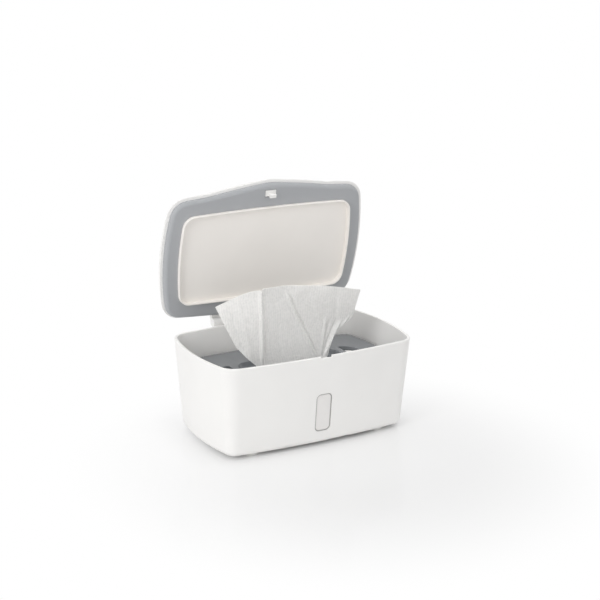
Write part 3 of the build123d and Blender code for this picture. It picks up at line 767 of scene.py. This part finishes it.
@dataclass
class Housing:
    """The rigid pieces, which keep their solids and get their finishes."""

    finishes: dict[str, bpy.types.Material] = field(default_factory=dict)

    def prepare(self) -> None:
        """Builds the finishes of the rigid pieces."""
        # Satin white ABS, pulled from a lightly blasted tool: soft broad highlights
        white = MouldedPlastic(
            "abs_white_satin", Colour.WHITE_MOULDING, 0.36, Grain.SATIN, subsurface=0.06
        ).build()
        # Polypropylene from a finely etched tool: warm, even and without shine
        tray = MouldedPlastic(
            "polypropylene_etched", Colour.WARM_TRAY, 0.55, Grain.FINE_MATTE, 0.7
        ).build()
        # Thermoplastic elastomer over the lid's edge: dull, soft and slightly dusty
        seal = MouldedPlastic(
            "elastomer_seal", Colour.SEAL_GREY, 0.62, Grain.FINE_MATTE, 0.8, edge_highlight=0.02
        ).build()
        # Polished grey ABS of the plate: it mirrors the tub's walls in soft bands
        plate = MouldedPlastic(
            "abs_grey_polished", Colour.PLATE_GREY, 0.2, Grain.POLISHED, 1.4, coat=0.25
        ).build()
        # Clear SAN with a frosted face, which hides all but a shade of what lies behind
        pane = FrostedPane("san_frosted", Colour.FROSTED, Colour.FROSTED_RIM, 0.08, 0.4).build()
        # Cloudy silicone pads: dull, with a little light let in
        foot = MouldedPlastic(
            "silicone_pad", Colour.FOOT, 0.5, Grain.FINE_MATTE, 0.6, subsurface=0.2
        ).build()
        # Bright drawn rod of the pins: a tight highlight with lines along it
        rod = DrawnSteel("steel_rod_drawn", Colour.STEEL, (1, 0, 0)).build()
        # Drawn spring wire, which runs every way in its coils: darker and even
        wire = DrawnSteel("spring_wire_drawn", Colour.STEEL_DARK, (0, 0, 0)).build()
        # The plain rolled slab in the plate: dark and dull
        slab = DrawnSteel("steel_slab_rolled", Colour.STEEL_DARK, (1, 0, 0), 0.45).build()
        # Rolled spring strip of the leaves: bright and smooth
        strip = DrawnSteel("spring_strip_rolled", Colour.STEEL, (0, 0, 1), 0.25).build()
        self.finishes = {
            "tub": white,
            "window_pane": pane,
            "foot": foot,
            "hinge_pin": rod,
            "hinge_spring": wire,
            "lid_shell": white,
            "lid_ring": seal,
            "lid_tray": tray,
            "latch_pin": rod,
            "button_spring": strip,
            "release_button": white,
            "latch_hook": white,
            "plate_cover": plate,
            "plate_base": plate,
            "plate_weight": slab,
        }

    def dress_nodes(self) -> None:
        """Puts each finish on the pieces whose names start with its key."""
        for start, material in self.finishes.items():
            for name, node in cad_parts.items():
                if name.startswith(start):
                    node.data.materials.clear()
                    node.data.materials.append(material)
                    log.info("finished %s", name)


@dataclass
class LeafSprings:
    """The two leaves under the release button, which flatten as it is pressed; here they are
    copied as their solids stand.
    """

    lean_deg: float = 80.0
    keep: float = 0.7

    def build(self, material: bpy.types.Material) -> None:
        """Builds the leaves over their solids.

        Args:
            material: Their steel.
        """
        for side in ("left", "right"):
            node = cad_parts[f"button_spring_{side}"]
            piece = bpy.data.objects.new(f"leaf_spring_{side}", node.data.copy())
            piece.matrix_world = node.matrix_world.copy()
            bpy.context.scene.collection.objects.link(piece)
            settle(piece)
            # The solid's triangles are loose, so its copy is merged before it is smoothed
            weld(piece)
            dress(piece, material)
            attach(piece, "lid")
            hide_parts(node.name)
            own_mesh(piece)
            log.info("made %s", piece.name)


@dataclass(frozen=True)
class Pleat:
    """A line up the sheet along which the cloth stands forward or sinks back, in mm."""

    top: tuple[float, float]
    foot: tuple[float, float]
    width: float
    depth: float
    fade: float = 9.0
    past_top: float = 7.0

    def across(self, x: np.ndarray, z: np.ndarray) -> np.ndarray:
        """Gives how far points lie to the right of the line.

        Args:
            x: X of the points in millimetres.
            z: Height of the points in millimetres.

        Returns:
            The distances along X in millimetres.
        """
        share = (z - self.foot[1]) / (self.top[1] - self.foot[1])
        return x - self.foot[0] - (self.top[0] - self.foot[0]) * share

    def relief(self, x: np.ndarray, z: np.ndarray) -> np.ndarray:
        """Gives the pleat's own depth, which fades out past both of its ends.

        Args:
            x: X of the points in millimetres.
            z: Height of the points in millimetres.

        Returns:
            Y to add to the points in millimetres.
        """
        above = np.clip((self.top[1] + self.past_top - z) / self.fade, 0, 1)
        below = np.clip((z - self.foot[1] + self.fade) / self.fade, 0, 1)
        return self.depth * np.exp(-((self.across(x, z) / self.width) ** 2)) * above * below


@dataclass
class DrawnWipe:
    """The wipe that is drawn up through the slot, one sheet with its folds.

    The cloth's flat size is in metres and everything else in millimetres. Edge points
    are X and height, and the front is towards minus Y.
    """

    flat: tuple[float, float] = (0.178, 0.170)
    thickness: float = 0.55
    columns: int = 190
    rows: int = 130
    foot_left: tuple[float, float] = (-37.2, 59.6)
    foot_right: tuple[float, float] = (37.2, 59.6)
    left_edge: tuple[tuple[float, float], ...] = (
        (-39.6, 69.0),
        (-51.7, 80.4),
        (-62.2, 92.4),
        (-71.6, 112.0),
        (-77.6, 126.0),
        (-80.9, 133.8),
    )
    top_edge: tuple[tuple[float, float], ...] = (
        (-62.0, 141.6),
        (-47.4, 147.0),
        (-34.4, 149.0),
        (-12.0, 147.8),
        (12.0, 146.4),
        (34.0, 144.2),
        (54.4, 140.2),
    )
    right_edge: tuple[tuple[float, float], ...] = (
        (39.8, 67.0),
        (41.4, 73.0),
        (43.0, 83.1),
        (46.2, 90.0),
        (50.6, 96.4),
        (57.0, 99.6),
        (62.4, 103.4),
        (65.0, 108.6),
        (66.6, 114.6),
        (68.2, 126.4),
        (69.8, 136.4),
    )
    edge_samples: int = 400
    edge_smoothing: int = 13
    corner_ease: float = 12.0
    # The main fold and the crease right of it split the sheet into three panels
    fold: Pleat = Pleat((-38.4, 149.0), (-34.4, 60.0), 1.6, -2.4)
    crease: Pleat = Pleat((-6.0, 137.0), (27.5, 68.0), 1.7, -2.0)
    left_slope: float = 0.36
    middle_slope: float = 0.22
    right_slope: float = 0.36
    right_bend: float = 0.0018
    pleats: tuple[Pleat, ...] = (
        # The far sides of the fold and the crease
        Pleat((-35.0, 149.0), (-31.2, 60.0), 2.2, 1.3),
        Pleat((-2.6, 137.0), (30.4, 68.0), 1.9, 1.7),
        # Gathers that run up from the foot's right end
        Pleat((50.5, 100.0), (38.6, 72.0), 1.7, -1.7),
        Pleat((46.0, 101.0), (36.4, 74.0), 1.5, 1.2),
        Pleat((36.0, 107.0), (33.6, 74.0), 1.5, -1.1),
        Pleat((40.5, 104.0), (35.0, 78.0), 1.2, 0.8),
        Pleat((60.5, 106.0), (47.0, 88.0), 1.6, -1.2),
        Pleat((65.0, 111.0), (56.0, 98.0), 1.5, 0.9),
        # Faint creases that the stack has left in the panels
        Pleat((-58.0, 134.0), (-47.0, 80.0), 2.6, -0.7),
        Pleat((-66.0, 124.0), (-55.0, 90.0), 2.0, 0.6),
        Pleat((-22.0, 138.0), (-12.0, 74.0), 3.4, 0.6),
        Pleat((18.0, 138.0), (34.0, 96.0), 2.6, -0.6),
        Pleat((44.0, 134.0), (47.0, 104.0), 2.2, 0.7),
    )
    slot_height: float = 60.0
    free_height: float = 90.0
    firm_height: float = 22.0
    sag: float = 1.2
    ripple: float = 0.3
    curl: float = 2.0
    curl_from: float = 138.0
    curl_height: float = 14.0
    # Height and how far the cloth leans forward there
    lean: tuple[tuple[float, float], ...] = ((59.0, 1.0), (150.0, 5.0))
    # Height and how far the cloth may stand from the slot's middle there
    room: tuple[tuple[float, float], ...] = (
        (59.0, 2.6),
        (66.0, 2.8),
        (72.0, 4.2),
        (90.0, 9.0),
        (152.0, 19.0),
    )

    def along(self, points: list[tuple[float, float]], shares: np.ndarray) -> np.ndarray:
        """Samples a rounded line through points by its share of length.

        Args:
            points: The line's points.
            shares: Shares of its length, from 0 to 1.

        Returns:
            The sampled points.
        """
        line = np.array(points, float)
        reach = np.r_[0, np.cumsum(np.linalg.norm(np.diff(line, axis=0), axis=1))]
        fine = np.linspace(0, reach[-1], self.edge_samples)
        path = np.c_[np.interp(fine, reach, line[:, 0]), np.interp(fine, reach, line[:, 1])]
        window = self.edge_smoothing
        padded = np.vstack([path[:1]] * window + [path] + [path[-1:]] * window)
        kernel = np.ones(2 * window + 1) / (2 * window + 1)
        # The ends stay, so that the sheet keeps its four corners
        ease = np.clip(np.minimum(fine, reach[-1] - fine) / self.corner_ease, 0, 1)
        for axis in (0, 1):
            rounded = np.convolve(padded[:, axis], kernel, "valid")
            path[:, axis] = path[:, axis] * (1 - ease) + rounded * ease
        return np.c_[
            np.interp(shares, fine / reach[-1], path[:, 0]),
            np.interp(shares, fine / reach[-1], path[:, 1]),
        ]

    def outline_grid(self) -> np.ndarray:
        """Lays a grid of points between the sheet's four edges.

        Returns:
            X and height of each grid point in millimetres, rows from the foot up.
        """
        across = np.linspace(0, 1, self.columns)
        up = np.linspace(0, 1, self.rows)
        left = self.along([self.foot_left, *self.left_edge], up)
        right = self.along([self.foot_right, *self.right_edge], up)
        top = self.along([self.left_edge[-1], *self.top_edge, self.right_edge[-1]], across)
        foot = self.along([self.foot_left, self.foot_right], across)
        s, t = across[None, :, None], up[:, None, None]
        sides = (1 - s) * left[:, None] + s * right[:, None]
        ends = (1 - t) * foot[None] + t * top[None]
        corners = (1 - s) * (1 - t) * foot[0] + s * (1 - t) * foot[-1]
        corners = corners + (1 - s) * t * top[0] + s * t * top[-1]
        return sides + ends - corners

    def depth(self, x: np.ndarray, z: np.ndarray) -> np.ndarray:
        """Gives the folds' depth at points of the sheet.

        Args:
            x: X of the points in millimetres.
            z: Height of the points in millimetres.

        Returns:
            Y of the points in millimetres, the front towards minus.
        """
        free = np.clip((z - self.slot_height) / self.free_height, 0, 1) ** 1.1
        firm = np.clip((z - self.slot_height) / self.firm_height, 0, 1)
        fold, crease = self.fold.across(x, z), self.crease.across(x, z)
        # Left of the fold the panel falls back, and right of it the sheet runs back
        # to the crease and comes forward again after it
        panel = np.where(fold < 0, -fold * self.left_slope, fold * self.middle_slope)
        valley = np.clip(fold - crease, 0, None) * self.middle_slope
        beyond = valley - self.right_slope * crease + self.right_bend * crease**2
        y = np.where(crease < 0, panel, beyond) * free
        for pleat in (self.fold, self.crease, *self.pleats):
            y = y + pleat.relief(x, z) * firm
        # Slow sags, small ripples and a top edge that curls a little
        sag = self.sag * np.sin(x / 15.0 + z / 29.0) * np.sin(z / 21.0 - x / 47.0)
        sway = np.sin(z / 9.0) * 2.1
        ripple = self.ripple * np.sin(x / 4.3 + sway) * np.sin(z / 13.0 + x / 31.0)
        curled = np.clip((z - self.curl_from) / self.curl_height, 0, 1) ** 2
        return y + (sag + ripple) * free + self.curl * curled * np.sin(x / 21.0 + 0.6)

    def build(self, material: bpy.types.Material) -> bpy.types.Object:
        """Builds the sheet.

        Args:
            material: Its cloth.

        Returns:
            The drawn wipe.
        """
        deselect()
        bpy.ops.mesh.primitive_grid_add(
            x_subdivisions=self.columns - 1, y_subdivisions=self.rows - 1, size=1
        )
        piece = bpy.context.object
        piece.name = piece.data.name = "drawn_wipe"
        grid = self.outline_grid()
        x, z = grid[..., 0], grid[..., 1]
        limit = np.interp(z, *np.transpose(self.room))
        y = np.clip(self.depth(x, z) - np.interp(z, *np.transpose(self.lean)), -limit, limit)
        points = np.stack([x, y, z], axis=-1).reshape(-1, 3) * MM
        piece.data.vertices.foreach_set("co", points.ravel())
        self.lay_flat(piece, points.reshape(self.rows, self.columns, 3))
        piece.data.update()
        apply_modifier(
            piece, "SOLIDIFY", thickness=self.thickness * MM, offset=0.0, use_even_offset=False
        )
        dress(piece, material, 70.0)
        return piece

    def lay_flat(self, piece: bpy.types.Object, points: np.ndarray) -> None:
        """Gives the sheet a map in metres along and across its cloth.

        Args:
            piece: The sheet.
            points: Its grid points.
        """
        step_across = np.linalg.norm(np.diff(points, axis=1), axis=2)
        step_up = np.linalg.norm(np.diff(points, axis=0), axis=2)
        u = np.c_[np.zeros(self.rows), np.cumsum(step_across, axis=1)]
        u = u - u[:, self.columns // 2 : self.columns // 2 + 1]
        v = np.vstack([np.zeros(self.columns), np.cumsum(step_up, axis=0)])
        flat = np.stack([u, v], axis=-1).reshape(-1, 2)
        layer = piece.data.uv_layers.active or piece.data.uv_layers.new(name="cloth")
        corners = np.zeros(len(piece.data.loops), int)
        piece.data.loops.foreach_get("vertex_index", corners)
        layer.data.foreach_set("uv", flat[corners].ravel())


@dataclass
class WipesStack:
    """The folded wipes under the plate, in loose layers, with sizes in millimetres."""

    length: float = 187.0
    width: float = 103.0
    bottom: float = 6.1
    top: float = 58.5
    layers: int = 22
    loft: float = 0.97
    rounding: float = 0.4
    cuts: int = 9
    stray: float = 0.5
    seed: int = 7
    hole_middle: float = 61.0
    hole_chord: float = 63.6
    hole_radius: float = 16.5
    swell: float = 9.2
    swell_power: float = 0.24
    swell_seat: float = 0.6
    swell_points: int = 31
    skin: float = 0.4
    dent: float = 0.35

    def build(self, material: bpy.types.Material) -> bpy.types.Object:
        """Builds the stack.

        Args:
            material: Its cloth.

        Returns:
            The folded wipes as one piece of separate layers.
        """
        dice = random.Random(self.seed)
        made = [self.layer(number, dice) for number in range(self.layers)]
        made += [self.swelling(side) for side in (-1, 1)]
        deselect()
        for layer in made:
            layer.select_set(True)
        bpy.context.view_layer.objects.active = made[0]
        bpy.ops.object.join()
        piece = bpy.context.object
        piece.name = piece.data.name = "folded_wipes"
        settle(piece)
        self.map_cloth(piece)
        dress(piece, material, 50.0)
        return piece

    def layer(self, number: int, dice: random.Random) -> bpy.types.Object:
        """Builds one folded wipe, laid a little out of line with the others.

        Args:
            number: Its place in the stack, 0 for the lowest.
            dice: What draws its place.

        Returns:
            The layer.
        """
        deselect()
        pitch = (self.top - self.bottom) / self.layers
        middle = self.bottom + pitch * (number + 0.5)
        shift = (dice.uniform(-self.stray, self.stray), dice.uniform(-self.stray, self.stray))
        bpy.ops.mesh.primitive_cube_add(
            size=1,
            location=(shift[0] * MM, shift[1] * MM, middle * MM),
            scale=(
                (self.length - 2 * self.stray) * MM,
                (self.width - 2 * self.stray) * MM,
                pitch * self.loft * MM,
            ),
        )
        layer = bpy.context.object
        settle(layer)
        bpy.ops.object.mode_set(mode="EDIT")
        bpy.ops.mesh.select_all(action="SELECT")
        bpy.ops.mesh.subdivide(number_cuts=self.cuts)
        bpy.ops.object.mode_set(mode="OBJECT")
        # The rounding stops at the first cut, and the faces that it closes up are merged
        width = pitch * self.rounding * MM
        apply_modifier(layer, "BEVEL", width=width, segments=2, limit_method="ANGLE")
        weld(layer)
        return layer

    def swelling(self, side: int) -> bpy.types.Object:
        """Builds the cloth that swells up into one of the plate's finger holes.

        Args:
            side: -1 for the left hole and 1 for the right one.

        Returns:
            A low cushion whose rim lies in the top layer.
        """
        deselect()
        count = self.swell_points
        bpy.ops.mesh.primitive_grid_add(x_subdivisions=count - 1, y_subdivisions=count - 1, size=1)
        piece = bpy.context.object
        # The hole's plan: a round whose inner side is cut off by a chord
        share = np.linspace(0, 1, count)
        s, t = share[None, :], share[:, None]
        half = math.sqrt(self.hole_radius**2 - (self.hole_chord - self.hole_middle) ** 2)
        y = (2 * t - 1) * half + 0 * s
        far = self.hole_middle + np.sqrt(self.hole_radius**2 - y**2)
        x = self.hole_chord + s * (far - self.hole_chord)
        full = np.clip(np.sin(np.pi * s) * np.sin(np.pi * t), 0, 1)
        dents = self.dent * np.sin(x / 1.7 + y / 3.1) * np.sin(y / 2.3 - x / 5.3)
        z = self.top - self.swell_seat + self.swell * full**self.swell_power + dents * full
        points = np.stack([side * x, y, z], axis=-1).reshape(-1, 3) * MM
        piece.data.vertices.foreach_set("co", points.ravel())
        piece.data.update()
        apply_modifier(piece, "SOLIDIFY", thickness=self.skin * MM, offset=0.0)
        return piece

    def map_cloth(self, piece: bpy.types.Object) -> None:
        """Gives the stack a map in metres, across and along the cloth.

        Args:
            piece: The joined stack.
        """
        mesh = piece.data
        layer = mesh.uv_layers.active or mesh.uv_layers.new(name="cloth")
        # The height is added, so that the rows run on down the stack's sides
        for corner in mesh.loops:
            place = mesh.vertices[corner.vertex_index].co
            layer.data[corner.index].uv = (place.x + place.z * 0.3, place.y + place.z)


@dataclass(frozen=True)
class SoftLamp:
    """A square soft lamp, with its place and side in metres and its power in watts."""

    name: str
    place: tuple[float, float, float]
    side: float
    power: float
    beam_deg: float = 180.0

    def hang(self, target: tuple[float, float, float]) -> None:
        """Hangs the lamp so that it points at the object.

        Args:
            target: The point in metres that it lights.
        """
        data = bpy.data.lights.new(self.name, "AREA")
        data.spread = math.radians(self.beam_deg)
        data.size = self.side
        data.energy = self.power
        lamp = bpy.data.objects.new(self.name, data)
        bpy.context.scene.collection.objects.link(lamp)
        lamp.location = self.place
        way = Vector(target) - Vector(self.place)
        lamp.rotation_euler = way.to_track_quat("-Z", "Y").to_euler()


@dataclass
class Studio:
    """Floor, light and camera at the photograph's view."""

    azimuth: float = -29.61
    elevation: float = 19.33
    roll: float = 0.61
    distance: float = 1.40987
    target: tuple[float, float, float] = (0.0, 0.0, 0.060)
    focal_px: float = 1417.63
    centre_px: tuple[float, float] = (292.19, 369.34)
    frame_px: int = 600
    sensor_mm: float = 36.0
    clip: tuple[float, float] = (0.05, 50.0)
    floor_side: float = 8.0
    world_strength: float = 0.78
    lamps: tuple[SoftLamp, ...] = (
        SoftLamp("key", (-1.06, -0.42, 0.5), 0.5, 3.5),
        SoftLamp("low", (-0.5, -1.1, 0.12), 0.6, 0.3),
        SoftLamp("top", (0.05, -0.1, 0.95), 0.35, 0.1, 40.0),
    )

    def build(self) -> None:
        """Builds the floor, the lights, the world and the camera."""
        self.floor()
        for lamp in self.lamps:
            lamp.hang(self.target)
        self.world()
        self.camera()

    def floor(self) -> None:
        """Lays a wide pale floor under the feet."""
        deselect()
        bpy.ops.mesh.primitive_plane_add(size=self.floor_side, location=(0, 0, 0))
        floor = bpy.context.object
        floor.name = "floor"
        settle(floor)
        floor.data.materials.append(StudioFloor().build())

    def world(self) -> None:
        """Lights the scene evenly and shows white where a ray leaves it."""
        world = bpy.data.worlds.new("studio")
        world.use_nodes = True
        tree = world.node_tree
        tree.nodes.clear()
        strength = add_node(
            tree,
            "ShaderNodeMapRange",
            {"To Min": self.world_strength, "To Max": 1.0},
            {"Value": showing_rays(tree)},
        )
        background = add_node(
            tree,
            "ShaderNodeBackground",
            {"Color": (1.0, 1.0, 1.0, 1.0)},
            {"Strength": strength.outputs["Result"]},
        )
        surface = {"Surface": background.outputs["Background"]}
        add_node(tree, "ShaderNodeOutputWorld", links=surface)
        bpy.context.scene.world = world

    def camera(self) -> None:
        """Sets the camera where the photograph was taken from."""
        data = bpy.data.cameras.new("camera")
        data.sensor_width = self.sensor_mm
        data.lens = self.focal_px / self.frame_px * self.sensor_mm
        data.shift_x = (self.frame_px / 2 - self.centre_px[0]) / self.frame_px
        data.shift_y = (self.centre_px[1] - self.frame_px / 2) / self.frame_px
        data.clip_start, data.clip_end = self.clip
        camera = bpy.data.objects.new("camera", data)
        bpy.context.scene.collection.objects.link(camera)
        turn, lift = math.radians(self.azimuth), math.radians(self.elevation)
        back = Vector(
            (
                math.sin(turn) * math.cos(lift),
                -math.cos(turn) * math.cos(lift),
                math.sin(lift),
            )
        )
        right = (-back).cross(Vector((0, 0, 1))).normalized()
        up = right.cross(-back)
        roll = math.radians(self.roll)
        tilted = right * math.cos(roll) + up * math.sin(roll)
        upright = up * math.cos(roll) - right * math.sin(roll)
        place = Vector(self.target) + back * self.distance
        axes = Matrix((tilted, upright, back)).transposed().to_4x4()
        camera.matrix_world = Matrix.Translation(place) @ axes
        bpy.context.scene.camera = camera
        bpy.context.scene.view_settings.view_transform = "Standard"


def main() -> None:
    """Builds the finishes, the wipes and the studio, and reports each piece."""
    housing = Housing()
    housing.prepare()
    housing.dress_nodes()
    LeafSprings().build(housing.finishes["button_spring"])
    # Spunlace cloth of viscose and polyester, embossed by a dimpled roller and damp:
    # matt and soft, with a little light let in and rows of small shadows, partly painted into the
    # colour
    cloth = NonWoven("spunlace_embossed", Colour.WIPE, Colour.WIPE_SHADE).build()
    wipe = DrawnWipe()
    drawn = wipe.build(cloth)
    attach(drawn, "plate")
    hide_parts("leading_wipe")
    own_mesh(drawn)
    log.info("made %s", drawn.name)
    stack = WipesStack().build(cloth)
    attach(stack, "tub_body")
    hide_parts("wipes_stack")
    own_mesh(stack)
    log.info("made %s", stack.name)
    Studio().build()
    log.info("made the studio")
    deselect()


if __name__ == "__main__":
    main()
